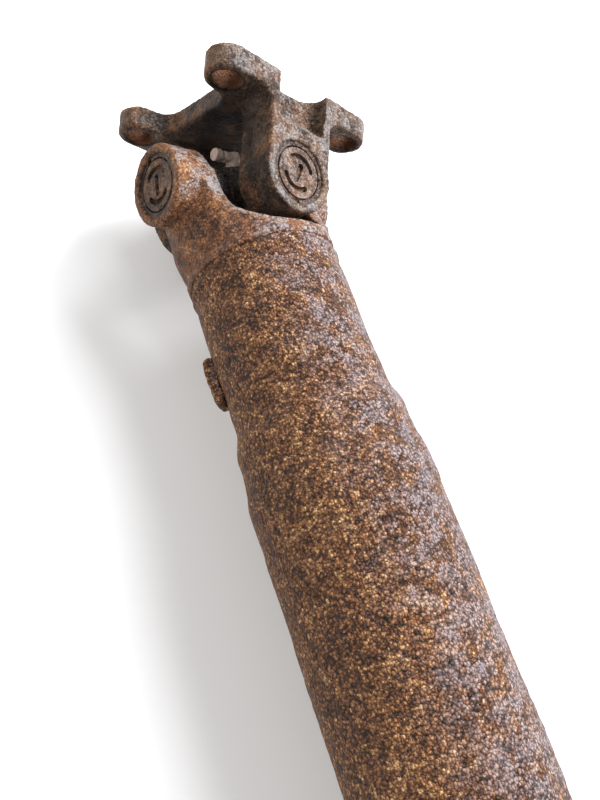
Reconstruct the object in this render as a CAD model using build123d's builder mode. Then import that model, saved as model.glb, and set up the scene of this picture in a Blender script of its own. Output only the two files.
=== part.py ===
"""End-to-end propeller shaft: swaged tube, two universal joints, a splined slip sleeve and two
four-bolt H-shaped flange yokes. Lengths are in millimetres.
The row frame has +Y along the shaft towards the front flange and +Z up. Its origin is the centre
of the front flange's mating face."""
import os
from math import asin, pi

from build123d import *

# ---- overall layout ----
cross_spacing = 650.0        # front cross centre to rear cross centre, at mid slip
main_radius = 38.8           # outside of the main tube
neck_radius = 34.4           # outside of the swaged neck and of the tube yoke
mid_radius = 37.4            # outside of the short step between them
tube_wall = 2.5
roll = 36.2                  # turn of the joints about the shaft, from +X
front_bend_yoke = 21.8       # rest bend of the front joint about the tube yoke's pins
front_bend_flange = -10.1    # rest bend of the front joint about the flange yoke's pins
rear_bend_yoke = -13.0       # rest bend of the rear joint about the sleeve yoke's pins

# ---- stations along the shaft, from the front cross centre ----
saddle_z = 34.0              # bottom of the gap between a shaft yoke's ears
weld_start, weld_end = 39.5, 42.5
step1_start, step1_end = 111.0, 123.0
step2_start, step2_end = 134.0, 146.0

# ---- universal joint ----
ear_inner, ear_outer = 24.0, 45.0
ear_radius = 18.0
cup_radius = 13.5
cup_mouth, cup_face = 25.0, 42.3
cup_floor = 38.5
needle_radius = 1.2
needle_gap = 0.03            # radial gap on each side of a needle
trunnion_radius = 8.2
trunnion_end = cup_floor - 0.1
pitch_radius = trunnion_radius + needle_gap + needle_radius
cup_bore = pitch_radius + needle_radius + needle_gap
needle_count = int(pi / asin((needle_radius + needle_gap / 2) / pitch_radius))   # a full row
clip_thick = 1.5
clip_seat = 0.9              # how far the circlip's groove reaches into the ear
clip_cover = 1.5             # how far the circlip reaches over the cup's end
clip_outer = cup_radius + clip_seat
clip_inner = cup_radius - clip_cover
relief_radius = clip_inner - 0.8
seal_radius = cup_radius - 0.9
hub_radius = 13.0
shoulder_end = 22.0
oil_hole = 1.8

# ---- flange yoke ----
face_z = 42.0                # cross centre to mating face
flange_thick = 11.0
bolt_half = 35.0             # half the bolt square's side
bolt_hole = 6.2
hole_chamfer = 0.9
lug_radius = 10.0
web_half = 26.0
pilot_radius, pilot_depth = 17.0, 3.0
notch_half = 13.5
flange_ear_half = 17.5

# ---- splined slip ----
teeth = 16
spline_root, spline_tip = 14.0, 17.0
tooth_width = 2.9
spline_gap = 0.08
sleeve_radius = 25.0
sleeve_mouth = 124.0         # rear cross centre to the sleeve's open end
spline_grip = 62.0           # spline inside the sleeve at mid slip
spline_length = 88.0
shoulder_length = 26.0       # tube end to the start of the spline
spline_end = cross_spacing - sleeve_mouth + spline_grip
spline_start = spline_end - spline_length
tube_end = spline_start - shoulder_length

back_z = face_z - flange_thick
bar_inner = bolt_half - lug_radius
bolt_circle = 2 * bolt_half * 2 ** 0.5

# ---- places ----
shaft_axis = Vector(0, 1, 0)
pin_axis = Vector(1, 0, 0).rotate(Axis.Y, roll)
normal = Vector(0, 0, 1).rotate(Axis.Y, roll)
pin_line = Axis((0, 0, 0), pin_axis)
front_pin = normal.rotate(pin_line, front_bend_yoke)
front_out = shaft_axis.rotate(pin_line, front_bend_yoke)
front_out = front_out.rotate(Axis((0, 0, 0), front_pin), front_bend_flange)
front_centre = front_out * -face_z
rear_centre = front_centre - shaft_axis * cross_spacing
rear_pin = (normal * -1).rotate(pin_line, rear_bend_yoke)
rear_out = (shaft_axis * -1).rotate(pin_line, rear_bend_yoke)

shaft_place = Plane(origin=front_centre, x_dir=pin_axis, z_dir=shaft_axis * -1).location
front_cross_place = Plane(origin=front_centre, x_dir=pin_axis,
                          z_dir=front_pin.cross(pin_axis)).location
front_flange_place = Plane(origin=front_centre, x_dir=front_pin, z_dir=front_out).location
sleeve_place = Plane(origin=rear_centre, x_dir=pin_axis, z_dir=shaft_axis).location
rear_cross_place = Plane(origin=rear_centre, x_dir=pin_axis,
                         z_dir=rear_pin.cross(pin_axis)).location
rear_flange_place = Plane(origin=rear_centre, x_dir=rear_pin, z_dir=rear_out).location

ear_plane = Plane(origin=(0, 0, 0), x_dir=(0, 1, 0), z_dir=(1, 0, 0))   # looks along the pins
flip = Location((0, 0, 0), (0, 0, 180))                                 # far side of a pin axis


# ---- cutter that bevels the inner edge of an ear's rounded tip ----
with BuildPart() as ear_bevel:
    for side in (1, -1):
        with BuildSketch(Plane.XZ):
            with BuildLine():
                Polyline((side * 23.9, 14.9), (side * 23.9, 20), (side * 29, 20), close=True)
            make_face()
        revolve(axis=Axis.X)
    split(bisect_by=Plane.XY, keep=Keep.BOTTOM)

# ---- tube yoke: ears at the front, a spigot that enters the tube behind ----
with BuildPart() as tube_yoke:
    with BuildSketch(Plane.XZ):
        with BuildLine():
            Polyline((0, -20), (37, -20), (37, 26), (neck_radius, 36), (neck_radius, weld_start),
                     (neck_radius - tube_wall, weld_start), (neck_radius - tube_wall, 54),
                     (neck_radius - tube_wall - 1.5, 56), (0, 56), close=True)
        make_face()
    revolve(axis=Axis.Z)
    with BuildSketch(ear_plane):
        with BuildLine():
            Spline((ear_radius, 8), (20.5, 22), (28, 32), (38, 38),
                   tangents=((0, 1), (1, 0.35)))
            Polyline((38, 38), (38, 60), (-38, 60), (-38, 38))
            Spline((-ear_radius, 8), (-20.5, 22), (-28, 32), (-38, 38),
                   tangents=((0, 1), (-1, 0.35)))
            Polyline((-ear_radius, 8), (-ear_radius, 0))
            ThreePointArc((-ear_radius, 0), (0, -ear_radius), (ear_radius, 0))
            Line((ear_radius, 0), (ear_radius, 8))
        make_face()
    extrude(amount=50, both=True, mode=Mode.INTERSECT)
    with BuildSketch(ear_plane.offset(ear_inner)):
        Circle(ear_radius)
    extrude(amount=ear_outer - ear_inner)
    with BuildSketch(ear_plane.offset(-ear_inner)):
        Circle(ear_radius)
    extrude(amount=-(ear_outer - ear_inner))
    with BuildSketch(Plane.XZ):
        with BuildLine():
            Polyline((-ear_inner, -21), (-ear_inner, saddle_z - 9), (-ear_inner + 9, saddle_z),
                     (ear_inner - 9, saddle_z), (ear_inner, saddle_z - 9), (ear_inner, -21),
                     close=True)
        make_face()
    extrude(amount=50, both=True, mode=Mode.SUBTRACT)
    add(ear_bevel, mode=Mode.SUBTRACT)
    with BuildSketch(Plane.XY.offset(57)):
        Circle(24)
    extrude(amount=-12, mode=Mode.SUBTRACT)
    with BuildSketch(ear_plane):
        Circle(cup_radius)
    extrude(amount=50, both=True, mode=Mode.SUBTRACT)
    for side in (1, -1):
        with BuildSketch(ear_plane.offset(side * cup_face)):
            Circle(clip_outer)
        extrude(amount=side * (clip_thick + 0.1), mode=Mode.SUBTRACT)
    rims = tube_yoke.edges().filter_by(GeomType.CIRCLE)
    chamfer(rims.filter_by(lambda e: abs(abs(e.center().X) - ear_outer) < 0.01
                           and e.radius < ear_radius - 1), 0.9)
tube_yoke.part.label = "front_tube_yoke"

# ---- swaged tube ----
with BuildPart() as tube:
    with BuildSketch(Plane.XZ) as wall:
        with BuildLine():
            outer = [(neck_radius, weld_end), (neck_radius, step1_start), (mid_radius, step1_end),
                     (mid_radius, step2_start), (main_radius, step2_end), (main_radius, tube_end)]
            inner = [(r - tube_wall, z) for r, z in reversed(outer)]
            Polyline(*outer, *inner, close=True)
        make_face()
        bends = wall.vertices().filter_by(
            lambda v: weld_end + 1 < v.Z < tube_end - 1)
        fillet(bends, 6.0)
    revolve(axis=Axis.Z)
tube.part.label = "tube"

# ---- weld beads: each fills the gap between two ends and stands proud outside ----
with BuildPart() as front_bead:
    with BuildSketch(Plane.XZ):
        with BuildLine():
            Polyline((neck_radius, weld_start - 1.4), (neck_radius, weld_start),
                     (neck_radius - tube_wall, weld_start), (neck_radius - tube_wall, weld_end),
                     (neck_radius, weld_end), (neck_radius, weld_end + 1.4))
            ThreePointArc((neck_radius, weld_start - 1.4),
                          (neck_radius + 1.0, (weld_start + weld_end) / 2),
                          (neck_radius, weld_end + 1.4))
        make_face()
    revolve(axis=Axis.Z)
front_bead.part.label = "front_weld_bead"

with BuildPart() as rear_bead:
    with BuildSketch(Plane.XZ):
        with BuildLine():
            Polyline((main_radius, tube_end - 1.4), (main_radius, tube_end),
                     (main_radius - tube_wall, tube_end), (main_radius - tube_wall, tube_end + 3),
                     (main_radius, tube_end + 3), (main_radius, tube_end + 4.4))
            ThreePointArc((main_radius, tube_end - 1.4), (main_radius + 1.2, tube_end + 1.5),
                          (main_radius, tube_end + 4.4))
        make_face()
    revolve(axis=Axis.Z)
rear_bead.part.label = "rear_weld_bead"

# ---- balance weights: curved plates welded on the tube ----
with BuildPart() as front_weight:
    with BuildSketch(Plane.XY.offset(74)):
        with BuildLine():
            CenterArc((0, 0), neck_radius + 4.8, -12, 24)
            CenterArc((0, 0), neck_radius, -12, 24)
            Line(Vector(neck_radius, 0).rotate(Axis.Z, -12),
                 Vector(neck_radius + 4.8, 0).rotate(Axis.Z, -12))
            Line(Vector(neck_radius, 0).rotate(Axis.Z, 12),
                 Vector(neck_radius + 4.8, 0).rotate(Axis.Z, 12))
        make_face()
    extrude(amount=23)
    fillet(front_weight.edges().filter_by(lambda e: (e.center().X ** 2 + e.center().Y ** 2) ** 0.5
                                          > neck_radius + 1), 2.2)

with BuildPart() as rear_weight:
    with BuildSketch(Plane.XY.offset(tube_end - 46)):
        with BuildLine():
            CenterArc((0, 0), main_radius + 2.5, -17, 34)
            CenterArc((0, 0), main_radius, -17, 34)
            Line(Vector(main_radius, 0).rotate(Axis.Z, -17),
                 Vector(main_radius + 2.5, 0).rotate(Axis.Z, -17))
            Line(Vector(main_radius, 0).rotate(Axis.Z, 17),
                 Vector(main_radius + 2.5, 0).rotate(Axis.Z, 17))
        make_face()
    extrude(amount=26)
    fillet(rear_weight.edges().filter_by(lambda e: (e.center().X ** 2 + e.center().Y ** 2) ** 0.5
                                         > main_radius + 1), 1.0)

# ---- stub shaft with the male spline, welded into the tube's rear end ----
with BuildPart() as spline_shaft:
    with BuildSketch(Plane.XZ):
        with BuildLine():
            Polyline((0, tube_end - 12), (main_radius - tube_wall, tube_end - 12),
                     (main_radius - tube_wall, tube_end + 3), (main_radius, tube_end + 3),
                     (main_radius, tube_end + 6), (22, tube_end + 20), (spline_root, tube_end + 24),
                     (spline_root, spline_end - 1), (spline_root - 1, spline_end),
                     (0, spline_end), close=True)
        make_face()
    revolve(axis=Axis.Z)
    with BuildSketch(Plane.XY.offset(spline_start)):
        with PolarLocations((spline_root + spline_tip) / 2, teeth):
            Rectangle(spline_tip - spline_root + 1, tooth_width)
        Circle(spline_tip, mode=Mode.INTERSECT)
    extrude(amount=spline_end - spline_start - 1)
spline_shaft.part.label = "spline_shaft"

# ---- sleeve yoke: ears at the rear, splined bore open to the front ----
with BuildPart() as sleeve_yoke:
    with BuildSketch(Plane.XZ):
        with BuildLine():
            Polyline((0, -20), (37, -20), (37, 26), (33, 38), (sleeve_radius, 52),
                     (sleeve_radius, sleeve_mouth), (0, sleeve_mouth), close=True)
        make_face()
    revolve(axis=Axis.Z)
    with BuildSketch(ear_plane):
        with BuildLine():
            Spline((ear_radius, 8), (20.5, 22), (28, 32), (38, 38),
                   tangents=((0, 1), (1, 0.35)))
            Polyline((38, 38), (38, 150), (-38, 150), (-38, 38))
            Spline((-ear_radius, 8), (-20.5, 22), (-28, 32), (-38, 38),
                   tangents=((0, 1), (-1, 0.35)))
            Polyline((-ear_radius, 8), (-ear_radius, 0))
            ThreePointArc((-ear_radius, 0), (0, -ear_radius), (ear_radius, 0))
            Line((ear_radius, 0), (ear_radius, 8))
        make_face()
    extrude(amount=50, both=True, mode=Mode.INTERSECT)
    with BuildSketch(ear_plane.offset(ear_inner)):
        Circle(ear_radius)
    extrude(amount=ear_outer - ear_inner)
    with BuildSketch(ear_plane.offset(-ear_inner)):
        Circle(ear_radius)
    extrude(amount=-(ear_outer - ear_inner))
    with BuildSketch(Plane.XZ):
        with BuildLine():
            Polyline((-ear_inner, -21), (-ear_inner, saddle_z - 9), (-ear_inner + 9, saddle_z),
                     (ear_inner - 9, saddle_z), (ear_inner, saddle_z - 9), (ear_inner, -21),
                     close=True)
        make_face()
    extrude(amount=50, both=True, mode=Mode.SUBTRACT)
    add(ear_bevel, mode=Mode.SUBTRACT)
    with BuildSketch(Plane.XY.offset(saddle_z - 1)):
        Circle(spline_root + spline_gap)
        with PolarLocations((spline_root + spline_tip) / 2, teeth):
            Rectangle(spline_tip - spline_root + 1, tooth_width + 2 * spline_gap)
        Circle(spline_tip + spline_gap, mode=Mode.INTERSECT)
    extrude(amount=sleeve_mouth, mode=Mode.SUBTRACT)
    with BuildSketch(Plane.XY.offset(saddle_z - 1)):
        Circle(19)
    extrude(amount=5, mode=Mode.SUBTRACT)
    with BuildSketch(ear_plane):
        Circle(cup_radius)
    extrude(amount=50, both=True, mode=Mode.SUBTRACT)
    for side in (1, -1):
        with BuildSketch(ear_plane.offset(side * cup_face)):
            Circle(clip_outer)
        extrude(amount=side * (clip_thick + 0.1), mode=Mode.SUBTRACT)
    with BuildSketch(Plane(origin=(0, sleeve_radius - 3, 78), x_dir=(1, 0, 0), z_dir=(0, 1, 0))):
        Circle(3.0)
    extrude(amount=10, mode=Mode.SUBTRACT)
    rims = sleeve_yoke.edges().filter_by(GeomType.CIRCLE)
    chamfer(rims.filter_by(lambda e: abs(abs(e.center().X) - ear_outer) < 0.01
                           and e.radius < ear_radius - 1), 0.9)
sleeve_yoke.part.label = "sleeve_yoke"

with BuildPart() as sleeve_plug:
    with BuildSketch(Plane.XY.offset(saddle_z + 1.5)):
        Circle(19)
    extrude(amount=2.5)
    with BuildSketch(Plane.XY.offset(saddle_z + 1.5)):
        Circle(9)
    extrude(amount=-0.8)

with BuildPart() as sleeve_dust_cap:
    with BuildSketch(Plane.XZ):
        with BuildLine():
            Polyline((sleeve_radius, sleeve_mouth - 14), (sleeve_radius + 1.5, sleeve_mouth - 14),
                     (sleeve_radius + 1.5, sleeve_mouth + 5), (18.4, sleeve_mouth + 5),
                     (18.4, sleeve_mouth + 3.5), (sleeve_radius, sleeve_mouth + 3.5), close=True)
        make_face()
    revolve(axis=Axis.Z)

with BuildPart() as sleeve_seal:
    with BuildSketch(Plane.XY.offset(sleeve_mouth)):
        Circle(sleeve_radius - 0.1)
        Circle(spline_tip + 0.3, mode=Mode.SUBTRACT)
    extrude(amount=3.5)

with BuildPart() as sleeve_nipple:
    with BuildSketch(Plane.XY):
        with BuildLine():
            Polyline((0, -3), (3.0, -3), (3.0, 0), (4.4, 0), (4.4, 4), (2.4, 4.8), (2.4, 7.2),
                     (3.2, 8.2), (3.2, 9.6), (2.2, 11), (0, 11), close=True)
        make_face()
    revolve(axis=Axis.Y)

# ---- cross: four trunnions on a hub, drilled for grease ----
with BuildPart() as cross:
    for face in (Plane.YZ, Plane.XZ):
        with BuildSketch(face):
            Circle(hub_radius)
        extrude(amount=shoulder_end - 2, both=True)
        with BuildSketch(face):
            Circle(11.6)
        extrude(amount=shoulder_end, both=True)
        with BuildSketch(face):
            Circle(trunnion_radius)
        extrude(amount=trunnion_end, both=True)
    with BuildSketch(Plane.XY):
        Circle(17)
    extrude(amount=hub_radius - 2, both=True)
    with BuildSketch(Plane.XY.offset(hub_radius - 3)):
        Circle(6)
    extrude(amount=5)
    with BuildSketch(Plane.XY.offset(6)):
        Circle(2.5)
    extrude(amount=12, mode=Mode.SUBTRACT)
    for face in (Plane.YZ, Plane.XZ):
        with BuildSketch(face):
            Circle(oil_hole)
        extrude(amount=trunnion_end + 1, both=True, mode=Mode.SUBTRACT)
    ends = cross.edges().filter_by(GeomType.CIRCLE).filter_by(
        lambda e: abs(e.radius - trunnion_radius) < 0.01 and e.center().length > trunnion_end - 0.1)
    chamfer(ends, 0.7)

with BuildPart() as elbow_nipple:
    with BuildSketch(Plane.XY.offset(hub_radius + 2)):
        RegularPolygon(4.2, 6)
    extrude(amount=3)
    with BuildSketch(Plane.XY.offset(hub_radius - 3)):
        Circle(2.5)
    extrude(amount=6)
    with BuildSketch(Plane.XY.offset(hub_radius + 5)):
        Circle(3.0)
    extrude(amount=5.2)
    with BuildSketch(Plane(origin=(2.4, 0, hub_radius + 7.6), x_dir=(0, 1, 0),
                           z_dir=(-1, 0, 0))):
        Circle(2.7)
    extrude(amount=8.2)
    with BuildSketch(Plane(origin=(-5.7, 0, hub_radius + 7.6), x_dir=(0, 1, 0),
                           z_dir=(-1, 0, 0))):
        Circle(2.0)
    extrude(amount=3.0)
    with BuildSketch(Plane(origin=(-8.0, 0, hub_radius + 7.6), x_dir=(0, 1, 0),
                           z_dir=(-1, 0, 0))):
        Circle(3.0)
    extrude(amount=3.4)

with BuildPart() as seals:
    for turn in (0, 90, 180, 270):
        with BuildSketch(Plane(Location((0, 0, 0), (0, 0, turn)) * Location(ear_plane))
                         .offset(shoulder_end)):
            Circle(seal_radius)
            Circle(trunnion_radius + 0.05, mode=Mode.SUBTRACT)
        extrude(amount=cup_mouth - shoulder_end - 0.05)

# ---- bearing cup, its circlip and its needles, on the +X end of a pin axis ----
with BuildPart() as cup:
    with BuildSketch(ear_plane.offset(cup_mouth)):
        Circle(cup_radius)
    extrude(amount=cup_face - cup_mouth)
    with BuildSketch(ear_plane.offset(cup_mouth)):
        Circle(cup_bore)
    extrude(amount=cup_floor - cup_mouth, mode=Mode.SUBTRACT)
    with BuildSketch(ear_plane.offset(cup_face)):
        Circle(relief_radius)
        for turn in (0, 180):
            with Locations(Location((0, 0, 0), (0, 0, turn + 25))):
                SlotArc(CenterArc((0, 0), 7.4, 20, 105), 2.4, mode=Mode.SUBTRACT)
        with Locations(Location((0, 0, 0), (0, 0, 70))):
            SlotOverall(9.6, 2.8, mode=Mode.SUBTRACT)
    extrude(amount=1.7)

with BuildPart() as circlip:
    with BuildSketch(ear_plane.offset(cup_face + 0.05)):
        Circle(clip_outer - 0.05)
        Circle(clip_inner, mode=Mode.SUBTRACT)
        with Locations((0, -(clip_inner + 1))):
            Rectangle(3.0, 4.0, mode=Mode.SUBTRACT)
    extrude(amount=clip_thick)

with BuildPart() as needles:
    for side in (1, -1):
        with BuildSketch(ear_plane.offset(side * (cup_mouth + 1.0))):
            with PolarLocations(pitch_radius, needle_count):
                Circle(needle_radius)
        extrude(amount=side * (cup_floor - cup_mouth - 1.5))

# ---- flange yoke: H-shaped four-bolt plate with two ears behind it ----
with BuildPart() as flange_yoke:
    with BuildSketch(Plane.XY.offset(back_z)) as plate:
        with Locations((bolt_half, 0), (-bolt_half, 0)):
            Rectangle(2 * lug_radius, 2 * bolt_half)
        with GridLocations(2 * bolt_half, 2 * bolt_half, 2, 2):
            Circle(lug_radius)
        Rectangle(2 * bar_inner + 2, 2 * web_half)
        corners = plate.vertices().filter_by(
            lambda v: abs(abs(v.X) - bar_inner) < 0.01 and abs(abs(v.Y) - web_half) < 0.01)
        fillet(corners, 9)
    extrude(amount=flange_thick)
    for side in (1, -1):
        with BuildSketch(ear_plane.offset(side * ear_inner)):
            with BuildLine():
                Polyline((-flange_ear_half, 0), (-flange_ear_half, back_z - 6))
                ThreePointArc((-flange_ear_half, back_z - 6), (-flange_ear_half - 1.8, back_z - 1.8),
                              (-flange_ear_half - 6, back_z))
                Polyline((-flange_ear_half - 6, back_z), (-flange_ear_half - 6, back_z + 2),
                         (flange_ear_half + 6, back_z + 2), (flange_ear_half + 6, back_z))
                ThreePointArc((flange_ear_half + 6, back_z), (flange_ear_half + 1.8, back_z - 1.8),
                              (flange_ear_half, back_z - 6))
                Polyline((flange_ear_half, back_z - 6), (flange_ear_half, 0),
                         (-flange_ear_half, 0))
            make_face()
        extrude(amount=side * (ear_outer - ear_inner))
        with BuildSketch(ear_plane.offset(side * ear_inner)):
            Circle(ear_radius)
        extrude(amount=side * (ear_outer - ear_inner))
        # wrench notch between the two lugs on this side
        with BuildSketch(Plane.XY.offset(back_z - 2)):
            with Locations((side * (ear_outer + 8), 0)):
                RectangleRounded(40, 2 * notch_half, 8)
        extrude(amount=20, mode=Mode.SUBTRACT)
        with BuildSketch(Plane.XZ):
            with BuildLine():
                Polyline((side * (ear_outer + 1), 19.5), (side * (ear_outer + 1), back_z),
                         (side * 34, back_z), (side * 36, back_z - 3), close=True)
            make_face()
        extrude(amount=notch_half - 1, both=True, mode=Mode.SUBTRACT)
    with BuildSketch(ear_plane):
        Circle(cup_radius)
    extrude(amount=50, both=True, mode=Mode.SUBTRACT)
    for side in (1, -1):
        with BuildSketch(ear_plane.offset(side * cup_face)):
            Circle(clip_outer)
        extrude(amount=side * (clip_thick + 0.1), mode=Mode.SUBTRACT)
    with BuildSketch(Plane.XY.offset(face_z)):
        with GridLocations(2 * bolt_half, 2 * bolt_half, 2, 2):
            Circle(bolt_hole)
    extrude(amount=-flange_thick - 8, mode=Mode.SUBTRACT)
    with BuildSketch(Plane.XY.offset(face_z)):
        Circle(pilot_radius)
    extrude(amount=-pilot_depth, mode=Mode.SUBTRACT)
    rims = flange_yoke.edges().filter_by(GeomType.CIRCLE)
    chamfer(rims.filter_by(lambda e: abs(abs(e.center().X) - ear_outer) < 0.01
                           and e.radius < ear_radius - 1), 0.9)
    holes = flange_yoke.edges().filter_by(GeomType.CIRCLE).filter_by(
        lambda e: abs(e.radius - bolt_hole) < 0.01)
    chamfer(holes, hole_chamfer)

# ---- place every sub-part ----
weight_angle = 227.1         # direction of the front weight about the shaft, from the pins
placed = {
    "front_tube_yoke": tube_yoke.part.moved(shaft_place),
    "front_weld_bead": front_bead.part.moved(shaft_place),
    "tube": tube.part.moved(shaft_place),
    "rear_weld_bead": rear_bead.part.moved(shaft_place),
    "balance_weight_front": front_weight.part.moved(
        shaft_place * Location((0, 0, 0), (0, 0, weight_angle))),
    "balance_weight_rear": rear_weight.part.moved(
        shaft_place * Location((0, 0, 0), (0, 0, 62))),
    "spline_shaft": spline_shaft.part.moved(shaft_place),
    "front_cross": cross.part.moved(front_cross_place),
    "front_cross_seals": seals.part.moved(front_cross_place),
    "front_grease_nipple": elbow_nipple.part.moved(front_cross_place),
    "front_flange_yoke": flange_yoke.part.moved(front_flange_place),
    "sleeve_yoke": sleeve_yoke.part.moved(sleeve_place),
    "sleeve_plug": sleeve_plug.part.moved(sleeve_place),
    "sleeve_dust_cap": sleeve_dust_cap.part.moved(sleeve_place),
    "sleeve_seal": sleeve_seal.part.moved(sleeve_place),
    "sleeve_grease_nipple": sleeve_nipple.part.moved(
        sleeve_place * Location((0, sleeve_radius, 78))),
    "rear_cross": cross.part.moved(rear_cross_place),
    "rear_cross_seals": seals.part.moved(rear_cross_place),
    "rear_grease_nipple": elbow_nipple.part.moved(rear_cross_place),
    "rear_flange_yoke": flange_yoke.part.moved(rear_flange_place),
}
ends_of = {
    "front_yoke": shaft_place,
    "front_flange": front_flange_place,
    "sleeve": sleeve_place,
    "rear_flange": rear_flange_place,
}
for stem, place in ends_of.items():
    placed[stem + "_cup_a"] = cup.part.moved(place)
    placed[stem + "_cup_b"] = cup.part.moved(place * flip)
    placed[stem + "_circlip_a"] = circlip.part.moved(place)
    placed[stem + "_circlip_b"] = circlip.part.moved(place * flip)
    placed[stem + "_needles"] = needles.part.moved(place)

os.makedirs("parts", exist_ok=True)
for name, solid in placed.items():
    solid.label = name
    export_step(solid, "parts/" + name + ".step")
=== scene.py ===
import math

import bpy
import numpy as np
from mathutils import Matrix, Vector


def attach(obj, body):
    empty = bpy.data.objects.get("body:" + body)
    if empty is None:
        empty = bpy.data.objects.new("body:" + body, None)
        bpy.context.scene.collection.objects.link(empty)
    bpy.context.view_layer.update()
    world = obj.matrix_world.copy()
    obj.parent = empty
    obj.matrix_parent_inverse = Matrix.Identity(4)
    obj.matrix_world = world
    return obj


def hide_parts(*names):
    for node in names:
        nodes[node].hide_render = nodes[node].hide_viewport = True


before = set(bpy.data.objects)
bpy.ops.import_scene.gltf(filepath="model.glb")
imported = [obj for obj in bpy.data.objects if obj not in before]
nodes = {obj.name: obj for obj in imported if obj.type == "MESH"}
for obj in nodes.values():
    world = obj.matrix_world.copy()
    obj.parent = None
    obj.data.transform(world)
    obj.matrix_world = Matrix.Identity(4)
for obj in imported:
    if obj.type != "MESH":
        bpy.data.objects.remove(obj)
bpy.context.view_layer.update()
scene = bpy.context.scene

# ---------------------------------------------------------------- frame values (metres)
ROLL = math.radians(36.2)
PIN = Vector((math.cos(ROLL), 0, -math.sin(ROLL)))
UP = Vector((math.sin(ROLL), 0, math.cos(ROLL)))
CROSS = Vector((-0.015013, -0.038392, -0.008041))   # front cross centre
SPACING = 0.650
SHAFT = Matrix((
    (PIN.x, UP.x, 0, CROSS.x), (PIN.y, UP.y, -1, CROSS.y), (PIN.z, UP.z, 0, CROSS.z), (0, 0, 0, 1)))


BOLT_HALF = 35            # half the bolt square's side, millimetres
TUBE_START = 42.6         # tube ends, millimetres from the front cross centre
TUBE_END = 474.0
FINE_END = 290.0          # the tube has closer rings up to here
TUBE_WALL = 0.0025
FLOOR_Z = -0.0612
CELLS = 32                # cells along each side of a noise table


# ---------------------------------------------------------------- noise on points
def smooth_noise(p, size, seed):
    """Value noise from -1 to 1 at points p, with cells of the given size in metres."""
    table = np.random.default_rng(seed).random((CELLS, CELLS, CELLS))
    q = p / size + 1000.0
    i = np.floor(q).astype(int)
    f = q - i
    f = f * f * (3 - 2 * f)
    out = 0.0
    for dx in (0, 1):
        for dy in (0, 1):
            for dz in (0, 1):
                w = ((f[:, 0] if dx else 1 - f[:, 0]) * (f[:, 1] if dy else 1 - f[:, 1])
                     * (f[:, 2] if dz else 1 - f[:, 2]))
                out = out + w * table[(i[:, 0] + dx) % CELLS, (i[:, 1] + dy) % CELLS,
                                      (i[:, 2] + dz) % CELLS]
    return out * 2 - 1


def points_of(mesh):
    co = np.empty(len(mesh.vertices) * 3, np.float32)
    mesh.vertices.foreach_get("co", co)
    return co.reshape(-1, 3).astype(float)


def normals_of(mesh):
    no = np.empty(len(mesh.vertices) * 3, np.float32)
    mesh.vertex_normals.foreach_get("vector", no)
    return no.reshape(-1, 3).astype(float)


def roughen(mesh, coarse, medium, fine, seed):
    """Moves the points along their normals, so the skin is uneven like scaled rust."""
    co, no = points_of(mesh), normals_of(mesh)
    d = (coarse * smooth_noise(co, 0.016, seed) + medium * smooth_noise(co, 0.005, seed + 1)
         + fine * smooth_noise(co, 0.0016, seed + 2))
    mesh.vertices.foreach_set("co", (co + no * d[:, None]).astype(np.float32).ravel())
    mesh.update()


def smooth_shade(mesh):
    mesh.polygons.foreach_set("use_smooth", [True] * len(mesh.polygons))


def local_frame(origin, x_dir, z_dir):
    """Origin and axes of a piece's own frame, as the painted shade functions use it."""
    x, z = Vector(x_dir).normalized(), Vector(z_dir).normalized()
    y = z.cross(x)
    return np.array(origin), np.array((x, y, z))


def in_frame(mesh, place):
    """Points in metres, then points in millimetres and normals in a piece's own frame."""
    co, no = points_of(mesh), normals_of(mesh)
    return co, (co - place[0]) @ place[1].T * 1000, no @ place[1].T


def paint(mesh, name, values):
    a = mesh.attributes.new(name, "FLOAT", "POINT")
    a.data.foreach_set("value", np.clip(values, 0, 1).astype(np.float32))


def soft(x, lo, hi):
    """Smooth step from 0 at lo to 1 at hi."""
    t = np.clip((x - lo) / (hi - lo), 0, 1)
    return t * t * (3 - 2 * t)


def paint_shade_flange(mesh, place, seed):
    """Painted shade behind the flange, between its ears and in a ring round each bolt hole; bare
    orange rust in the bolt holes.
    """
    co, p, n = in_frame(mesh, place)
    inward = soft(-np.sign(p[:, 0]) * n[:, 0], 0.2, 0.8) * (np.abs(p[:, 0]) < 27)
    behind = (soft(-n[:, 2], 0.1, 0.7) * soft(p[:, 2], 18, 26)
              * (1 - soft(np.hypot(p[:, 0], p[:, 1]), 30, 46)))
    flank = (soft(np.abs(n[:, 1]), 0.3, 0.9) * (np.abs(p[:, 0]) < 45)
             * soft(-p[:, 2] + 34, 0, 8) * 0.55)
    flank = flank * (1 - soft(-p[:, 2], 4, 16))
    scoop = soft(-n[:, 2], -0.2, 0.4) * (np.abs(p[:, 0]) < 24) * 0.8
    g = np.maximum.reduce([inward, behind, flank, scoop])
    g = g * (0.8 + 0.35 * smooth_noise(co, 0.009, seed))
    far = np.full(len(co), 1e9)
    for x in (-BOLT_HALF, BOLT_HALF):
        for y in (-BOLT_HALF, BOLT_HALF):
            far = np.minimum(far, np.hypot(p[:, 0] - x, p[:, 1] - y))
    ring = soft(far, 6.5, 7.0) * (1 - soft(far, 7.6, 8.4))
    under = soft(-n[:, 2], 0.3, 0.9) * 0.35
    paint(mesh, "painted_shade", np.maximum.reduce([g * soft(far, 8.0, 11), ring, under]))
    paint(mesh, "orange", 1 - soft(far, 6.2, 6.7))


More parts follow.
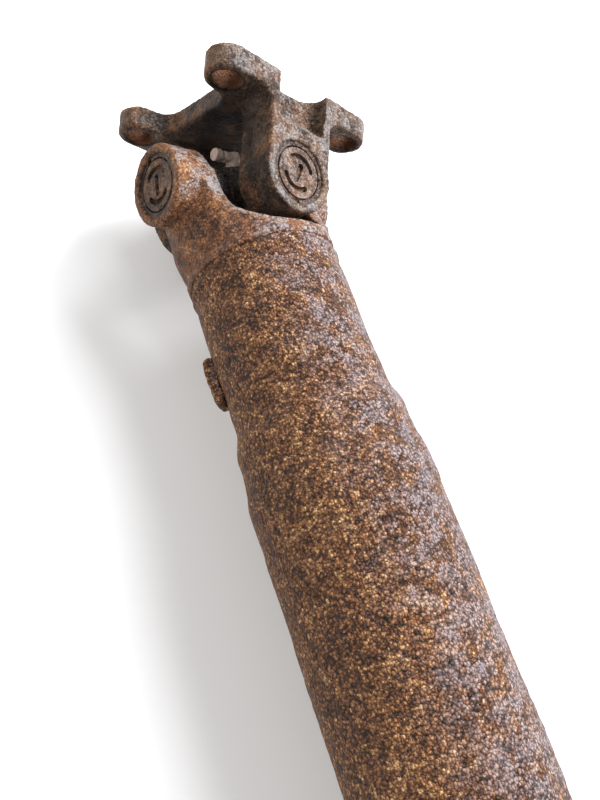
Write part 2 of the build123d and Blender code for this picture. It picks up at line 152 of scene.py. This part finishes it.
def paint_shade_yoke(mesh, place, seed):
    """Painted shade on the inner faces of a shaft yoke's ears and in the gap between them."""
    co, p, n = in_frame(mesh, place)
    inward = soft(-np.sign(p[:, 0]) * n[:, 0], 0.15, 0.7) * (np.abs(p[:, 0]) < 30) * (p[:, 2] < 37)
    recess = (1 - soft(np.hypot(p[:, 1], p[:, 2]), 13.6, 15.2)) * (np.abs(p[:, 0]) > 30) * 0.7
    g = np.maximum(inward, recess) * (0.85 + 0.3 * smooth_noise(co, 0.009, seed))
    paint(mesh, "painted_shade", g)


def add_piece(name, mesh, material, body, node):
    """Puts a mesh in the scene in place of a CAD node, riding on a body."""
    mesh.materials.clear()
    mesh.materials.append(material)
    smooth_shade(mesh)
    o = bpy.data.objects.new(name, mesh)
    scene.collection.objects.link(o)
    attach(o, body)
    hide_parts(node)


def cast_copy(node, name, body, voxel, rounds, amounts, seed, material, painted_shade=None,
              place=None):
    """A worn copy of a CAD node: remeshed, its edges softened, its skin made uneven."""
    temp = bpy.data.objects.new(name + "_temp", nodes[node].data.copy())
    scene.collection.objects.link(temp)
    m = temp.modifiers.new("remesh", "REMESH")
    m.mode = "VOXEL"
    m.voxel_size = voxel
    s = temp.modifiers.new("soften", "SMOOTH")
    s.factor = 0.5
    s.iterations = rounds
    dg = bpy.context.evaluated_depsgraph_get()
    mesh = bpy.data.meshes.new_from_object(temp.evaluated_get(dg))
    bpy.data.objects.remove(temp)
    mesh.name = name
    # paints the painted shade attribute where a function for it is given
    if painted_shade:
        painted_shade(mesh, place, seed)
    roughen(mesh, *amounts, seed)
    add_piece(name, mesh, material, body, node)


# ---------------------------------------------------------------- materials
# In each helper nt is the material's node tree, and a value is a number, a colour or a socket.
def mix(nt, kind, fac, a, b):
    n = nt.nodes.new("ShaderNodeMix")
    n.data_type = "RGBA"
    n.blend_type = kind
    for sock, v in ((n.inputs[0], fac), (n.inputs[6], a), (n.inputs[7], b)):
        if isinstance(v, bpy.types.NodeSocket):
            nt.links.new(v, sock)
        elif isinstance(v, (int, float)):
            sock.default_value = v
        else:
            sock.default_value = (*v, 1)
    return n.outputs[2]


def noise_node(nt, co, scale, detail=3.0, rough=0.6, distort=0.0):
    n = nt.nodes.new("ShaderNodeTexNoise")
    n.inputs["Scale"].default_value = scale
    n.inputs["Detail"].default_value = detail
    n.inputs["Roughness"].default_value = rough
    n.inputs["Distortion"].default_value = distort
    nt.links.new(co, n.inputs["Vector"])
    return n.outputs["Fac"]


def ramp(nt, fac, lo, hi, a=0.0, b=1.0):
    n = nt.nodes.new("ShaderNodeMapRange")
    n.interpolation_type = "SMOOTHSTEP"
    for k, v in (("From Min", lo), ("From Max", hi), ("To Min", a), ("To Max", b)):
        n.inputs[k].default_value = v
    nt.links.new(fac, n.inputs["Value"])
    return n.outputs["Result"]


def math_node(nt, op, a, b):
    n = nt.nodes.new("ShaderNodeMath")
    n.operation = op
    for sock, v in ((n.inputs[0], a), (n.inputs[1], b)):
        if isinstance(v, (int, float)):
            sock.default_value = v
        else:
            nt.links.new(v, sock)
    return n.outputs[0]


def add(nt, a, b):
    return math_node(nt, "ADD", a, b)


def times(nt, a, b):
    return math_node(nt, "MULTIPLY", a, b)


def voronoi(nt, co, scale):
    """A random number for each cell, and the distance to the cell's centre."""
    n = nt.nodes.new("ShaderNodeTexVoronoi")
    n.inputs["Scale"].default_value = scale
    nt.links.new(co, n.inputs["Vector"])
    split = nt.nodes.new("ShaderNodeSeparateColor")
    nt.links.new(n.outputs["Color"], split.inputs[0])
    return split.outputs[0], n.outputs["Distance"]


def attribute(nt, name):
    n = nt.nodes.new("ShaderNodeAttribute")
    n.attribute_name = name
    return n.outputs["Fac"]


# colour ramps: position, then colour, from the darkest grain to the brightest
RUST = ((0.00, (0.034, 0.018, 0.011)), (0.28, (0.110, 0.046, 0.022)), (0.48, (0.225, 0.094, 0.042)),
        (0.68, (0.350, 0.152, 0.060)), (0.86, (0.560, 0.285, 0.105)), (1.00, (0.800, 0.540, 0.270)))
DIRT = ((0.00, (0.028, 0.018, 0.013)), (0.25, (0.082, 0.050, 0.034)), (0.46, (0.160, 0.098, 0.064)),
        (0.64, (0.270, 0.160, 0.095)), (0.84, (0.380, 0.265, 0.180)), (1.00, (0.540, 0.440, 0.330)))
OIL = ((0.00, (0.008, 0.006, 0.005)), (0.35, (0.022, 0.015, 0.012)), (0.60, (0.045, 0.028, 0.020)),
       (0.85, (0.110, 0.062, 0.038)), (1.00, (0.240, 0.150, 0.090)))
BARE = ((0.00, (0.070, 0.050, 0.040)), (0.35, (0.160, 0.125, 0.105)), (0.60, (0.280, 0.240, 0.215)),
        (0.85, (0.400, 0.310, 0.240)), (1.00, (0.520, 0.360, 0.230)))
PALE = ((0.00, (0.160, 0.100, 0.080)), (0.35, (0.360, 0.240, 0.190)), (0.60, (0.520, 0.380, 0.310)),
        (0.85, (0.620, 0.480, 0.390)), (1.00, (0.700, 0.560, 0.440)))
GUM = ((0.00, (0.006, 0.006, 0.006)), (0.50, (0.018, 0.016, 0.015)), (0.85, (0.060, 0.040, 0.028)),
       (1.00, (0.120, 0.080, 0.050)))
BROWN = (0.115, 0.046, 0.020)
ORANGE = (0.330, 0.145, 0.055)
HOLE_RUST = (0.130, 0.044, 0.014)


def rust(name, stops, sheen_grey, sheen_amount, contrast, roughness, bump, grain=950.0, metallic=0.0,
         specular=0.28, shift=0.0, broad_by=1.0, tint=0.0):
    """Granular rust: each grain has its own colour, and broad patches shift the whole range."""
    mat = bpy.data.materials.new(name)
    mat.use_nodes = True
    nt = mat.node_tree
    bsdf = nt.nodes["Principled BSDF"]
    tc = nt.nodes.new("ShaderNodeTexCoord")
    co = tc.outputs["Object"]
    warp = nt.nodes.new("ShaderNodeTexNoise")
    warp.inputs["Scale"].default_value = grain * 0.8
    nt.links.new(co, warp.inputs["Vector"])
    scaled = nt.nodes.new("ShaderNodeVectorMath")
    scaled.operation = "MULTIPLY_ADD"
    nt.links.new(warp.outputs["Color"], scaled.inputs[0])
    scaled.inputs[1].default_value = (0.9 / grain,) * 3
    nt.links.new(co, scaled.inputs[2])
    bent = scaled.outputs["Vector"]
    pick1, dist1 = voronoi(nt, bent, grain)
    pick2, dist2 = voronoi(nt, bent, grain * 0.45)
    pick3, dist3 = voronoi(nt, bent, grain * 2.2)
    patches = noise_node(nt, co, 42, 4, 0.6, 0.3)
    blotch = noise_node(nt, co, 150, 4, 0.65, 0.2)
    grains = add(nt, times(nt, pick1, 0.5), add(nt, times(nt, pick2, 0.25), times(nt, pick3, 0.25)))
    grains = times(nt, math_node(nt, "SUBTRACT", grains, 0.5), contrast)
    broad = add(nt, times(nt, math_node(nt, "SUBTRACT", patches, 0.5), 0.55),
                times(nt, math_node(nt, "SUBTRACT", blotch, 0.5), 0.75))
    level = add(nt, add(nt, grains, times(nt, broad, broad_by)), 0.46 + shift)
    cr = nt.nodes.new("ShaderNodeValToRGB")
    while len(cr.color_ramp.elements) < len(stops):
        cr.color_ramp.elements.new(0.5)
    for e, (pos, rgb) in zip(cr.color_ramp.elements, stops):
        e.position = pos
        e.color = (*rgb, 1)
    nt.links.new(level, cr.inputs[0])
    col = cr.outputs["Color"]
    if tint:
        warm = ramp(nt, noise_node(nt, co, 75, 4, 0.65, 0.4), 0.47, 0.62, 0, tint)
        col = mix(nt, "MIX", warm, col, mix(nt, "MIX", pick1, BROWN, ORANGE))
    # painted sheen: faces turned to the upper right, towards the key light, are mixed towards grey in
    # patches
    side = nt.nodes.new("ShaderNodeVectorMath")
    side.operation = "DOT_PRODUCT"
    nt.links.new(tc.outputs["Normal"], side.inputs[0])
    side.inputs[1].default_value = (0.80, 0.0, 0.60)
    facing = ramp(nt, side.outputs["Value"], 0.30, 1.0, 0.06, 1.0)
    sheen_patches = ramp(nt, add(nt, noise_node(nt, co, 110, 5, 0.7), times(nt, pick1, 0.22)), 0.52, 0.74)
    col = mix(nt, "MIX", times(nt, times(nt, sheen_patches, facing), sheen_amount), col, sheen_grey)
    # gaps between grains are darker, and painted shade darkens the hollows, back faces and inner faces
    # of the ears
    pits = ramp(nt, dist1, 0.30, 0.75, 1.0, 1.0 - 0.5 * min(contrast, 1.3))
    unshaded = math_node(nt, "SUBTRACT", 1.0, times(nt, attribute(nt, "painted_shade"), 0.86))
    painted_shade = times(nt, pits, unshaded)
    dark = nt.nodes.new("ShaderNodeCombineColor")
    for k in range(3):
        nt.links.new(painted_shade, dark.inputs[k])
    col = mix(nt, "MULTIPLY", 1.0, col, dark.outputs[0])
    hole = times(nt, attribute(nt, "orange"), ramp(nt, blotch, 0.35, 0.6, 0.45, 0.9))
    col = mix(nt, "MIX", hole, col, HOLE_RUST)
    nt.links.new(col, bsdf.inputs["Base Color"])
    gloss = ramp(nt, pick1, 0.0, 1.0, roughness - 0.16, roughness + 0.14)
    nt.links.new(gloss, bsdf.inputs["Roughness"])
    bsdf.inputs["Metallic"].default_value = metallic
    bsdf.inputs["Specular IOR Level"].default_value = specular
    fine = add(nt, times(nt, dist2, -0.8), times(nt, grains, 0.9))
    height = add(nt, times(nt, dist1, -0.7), add(nt, times(nt, blotch, 1.5), fine))
    b = nt.nodes.new("ShaderNodeBump")
    b.inputs["Strength"].default_value = bump
    b.inputs["Distance"].default_value = 0.0012
    nt.links.new(height, b.inputs["Height"])
    nt.links.new(b.outputs["Normal"], bsdf.inputs["Normal"])
    return mat


TUBE = rust("tube_rust", RUST, (0.42, 0.36, 0.38), 0.70, 1.30, 0.60, 0.95, specular=0.2)
YOKE = rust("yoke_rust", RUST, (0.36, 0.33, 0.32), 0.90, 0.85, 0.58, 0.65, specular=0.2, shift=-0.03,
            broad_by=1.6, tint=0.25)
FLANGE = rust("flange_dirt", DIRT, (0.31, 0.29, 0.28), 0.80, 0.60, 0.56, 0.80, grain=1000, shift=-0.13,
              specular=0.16, broad_by=2.0, tint=0.55)
WELD = rust("weld_scale", RUST, (0.40, 0.38, 0.39), 1.0, 0.8, 0.55, 0.7, shift=-0.05)
CUP = rust("cup_rust", DIRT, (0.36, 0.30, 0.29), 0.5, 0.65, 0.55, 0.65, shift=-0.10, specular=0.16,
           broad_by=1.5, tint=0.3)
CLIP = rust("clip_rust", OIL, (0.16, 0.13, 0.12), 0.4, 1.0, 0.45, 0.4, metallic=0.3, shift=0.15)
GREASE = rust("cross_grease", OIL, (0.09, 0.08, 0.075), 0.3, 1.0, 0.40, 0.5)
NIPPLE = rust("nipple_scale", PALE, (0.60, 0.48, 0.46), 0.6, 0.4, 0.50, 0.3, shift=0.2)
STEEL = rust("worn_steel", DIRT, (0.34, 0.32, 0.31), 0.6, 0.8, 0.48, 0.45, metallic=0.25, tint=0.35)
NEEDLE = rust("needle_steel", BARE, (0.5, 0.5, 0.5), 0.6, 0.4, 0.32, 0.1, metallic=0.8, shift=0.1)
SEAL = rust("seal_rubber", GUM, (0.04, 0.037, 0.035), 0.4, 0.8, 0.60, 0.35)

for n, o in nodes.items():
    if n.endswith("_cross"):
        m = GREASE
    elif "seal" in n:
        m = SEAL
    elif "nipple" in n:
        m = NIPPLE
    elif "needles" in n:
        m = NEEDLE
    elif "circlip" in n:
        m = CLIP
    elif "_cup_" in n:
        m = CUP
    elif "weld" in n:
        m = WELD
    elif n in ("tube", "balance_weight_front", "balance_weight_rear"):
        m = TUBE
    elif n in ("spline_shaft", "sleeve_plug", "sleeve_dust_cap"):
        m = STEEL
    else:
        m = YOKE
    o.data.materials.clear()
    o.data.materials.append(m)

# ---------------------------------------------------------------- camera
camera = bpy.data.objects.new("camera", bpy.data.cameras.new("camera"))
scene.collection.objects.link(camera)
right = Vector((0.9443, -0.3240, 0.0573)).normalized()
back = Vector((-0.1648, -0.3150, 0.9347)).normalized()
over = back.cross(right).normalized()
right = over.cross(back).normalized()
eye = CROSS + Vector((-0.0565, -0.2059, 0.2989))
camera.matrix_world = Matrix((
    (right.x, over.x, back.x, eye.x), (right.y, over.y, back.y, eye.y),
    (right.z, over.z, back.z, eye.z), (0, 0, 0, 1)))
camera.data.lens = 33.3
camera.data.sensor_width = 36.0
camera.data.clip_start = 0.02
camera.data.clip_end = 20.0
camera.data.dof.use_dof = False
scene.camera = camera


# ---------------------------------------------------------------- the swaged tube
def tube_radius(s):
    """Outside radius in metres at station s in millimetres from the front cross centre."""
    r = 34.4 + 3.0 * soft(s, 111, 124) + 1.5 * soft(s, 133, 147)
    r = r + 0.35 * np.exp(-((s - 152) / 10.0) ** 2)
    r = r + 0.7 * np.exp(-((s - 47.5) / 1.4) ** 2) - 0.4 * np.exp(-((s - 51.5) / 2.0) ** 2)
    return r / 1000


def make_tube(name):
    """The tube as rings round the shaft: outside from front to rear, then the bore back again."""
    stations = np.concatenate([np.arange(TUBE_START, FINE_END, 1.0),
                               np.arange(FINE_END, TUBE_END + 0.1, 2.0)])
    around = 240          # points in a ring
    a = np.arange(around) * 2 * math.pi / around
    ss, aa = np.meshgrid(stations, a, indexing="ij")
    rr = tube_radius(ss)
    local = np.stack([rr * np.cos(aa), rr * np.sin(aa), ss / 1000], -1).reshape(-1, 3)
    out = np.stack([np.cos(aa), np.sin(aa), np.zeros_like(aa)], -1).reshape(-1, 3)
    flat = ss.reshape(-1)
    edge = np.clip(np.minimum(flat - TUBE_START, TUBE_END - flat) / 3.0, 0, 1)
    d = (0.00040 * smooth_noise(local, 0.022, 11) + 0.00034 * smooth_noise(local, 0.0085, 12)
         + 0.00022 * smooth_noise(local, 0.0036, 13) + 0.00012 * smooth_noise(local, 0.0018, 14))
    calm = np.clip((flat - 60) / 40, 0.45, 1.0)
    local = local + out * (d * edge * calm)[:, None]
    inner = []
    for s in (TUBE_END, 150.0, 133.0, 124.0, 111.0, TUBE_START):
        r = float(tube_radius(np.array(s))) - TUBE_WALL
        inner.append(np.stack([r * np.cos(a), r * np.sin(a), np.full(around, s / 1000)], -1))
    pts = np.concatenate([local, *inner])
    m = np.array(SHAFT)
    pts = pts @ m[:3, :3].T + m[:3, 3]
    rings = len(stations) + len(inner)
    j = np.arange(around)
    k = (j + 1) % around
    faces = []
    for i in range(rings):
        n = (i + 1) % rings
        faces.append(np.stack([i * around + j, n * around + j, n * around + k, i * around + k], -1))
    faces = np.concatenate(faces)
    mesh = bpy.data.meshes.new(name)
    mesh.from_pydata(pts.tolist(), [], faces.tolist())
    mesh.update()
    add_piece(name, mesh, TUBE, "shaft", "tube")


make_tube("tube_rusted")

# ---------------------------------------------------------------- forged and welded pieces
AT_YOKE = local_frame(CROSS, PIN, (0, -1, 0))
AT_FLANGE = local_frame(CROSS, (0.548369, -0.371368, 0.749251), (0.357447, 0.914097, 0.191462))
REAR = CROSS - Vector((0, SPACING, 0))
AT_REAR = local_frame(REAR, (-0.575468, -0.224951, -0.786278), (0.132857, -0.97437, 0.181527))
AT_SLEEVE = local_frame(REAR, PIN, (0, 1, 0))
cast_copy("front_tube_yoke", "front_tube_yoke_rusted", "shaft", 0.00085, 8,
          (0.00030, 0.00024, 0.00014), 21, YOKE, paint_shade_yoke, AT_YOKE)
cast_copy("front_weld_bead", "front_weld_bead_rusted", "shaft", 0.0007, 2,
          (0.00035, 0.00040, 0.00010), 31, WELD)
cast_copy("rear_weld_bead", "rear_weld_bead_rusted", "shaft", 0.0009, 2,
          (0.00035, 0.00040, 0.00010), 34, WELD)
cast_copy("balance_weight_front", "balance_weight_front_rusted", "shaft", 0.0005, 16,
          (0.00070, 0.00070, 0.00022), 41, TUBE)
cast_copy("balance_weight_rear", "balance_weight_rear_rusted", "shaft", 0.0005, 5,
          (0.00020, 0.00025, 0.00010), 44, TUBE)
cast_copy("front_flange_yoke", "front_flange_yoke_rusted", "front_flange", 0.00078, 4,
          (0.00025, 0.00022, 0.00010), 51, FLANGE, paint_shade_flange, AT_FLANGE)
cast_copy("rear_flange_yoke", "rear_flange_yoke_rusted", "rear_flange", 0.0009, 7,
          (0.00025, 0.00022, 0.00008), 61, FLANGE, paint_shade_flange, AT_REAR)
cast_copy("sleeve_yoke", "sleeve_yoke_rusted", "sleeve", 0.0010, 5,
          (0.00020, 0.00018, 0.00005), 71, YOKE, paint_shade_yoke, AT_SLEEVE)
cast_copy("front_cross", "front_cross_greasy", "front_cross", 0.0007, 4,
          (0.00010, 0.00008, 0.00004), 81, GREASE)
cast_copy("front_grease_nipple", "front_grease_nipple_rusted", "front_cross", 0.00035, 3,
          (0.00012, 0.00012, 0.00008), 91, NIPPLE)

# ---------------------------------------------------------------- floor and light
bpy.ops.mesh.primitive_plane_add(size=12, location=(0, -0.3, FLOOR_Z))
floor = bpy.context.object
floor.name = "floor"
pale = bpy.data.materials.new("pale_floor")
pale.use_nodes = True
skin = pale.node_tree.nodes["Principled BSDF"]
skin.inputs["Base Color"].default_value = (0.93, 0.93, 0.93, 1)
skin.inputs["Roughness"].default_value = 0.9
floor.data.materials.append(pale)


def area_light(name, size, power, location, aim, color):
    light = bpy.data.lights.new(name, "AREA")
    light.size = size
    light.energy = power
    light.color = color
    o = bpy.data.objects.new(name, light)
    scene.collection.objects.link(o)
    o.location = location
    o.rotation_mode = "QUATERNION"
    o.rotation_quaternion = (Vector(aim) - Vector(location)).to_track_quat("-Z", "Y")


centre = CROSS + Vector((0, -0.15, 0))
area_light("key", 0.9, 50, centre + Vector((1.1, 0.35, 0.95)), centre, (0.95, 0.96, 1.0))
area_light("fill", 1.6, 10, centre + Vector((-0.9, 0.3, 1.2)), centre, (1.0, 0.98, 0.95))
world = scene.world or bpy.data.worlds.new("world")
scene.world = world
world.use_nodes = True
sky = world.node_tree.nodes["Background"]
sky.inputs["Color"].default_value = (1, 1, 1, 1)
sky.inputs["Strength"].default_value = 0.5
scene.view_settings.view_transform = "Standard"
scene.view_settings.look = "None"
scene.view_settings.exposure = 0.0
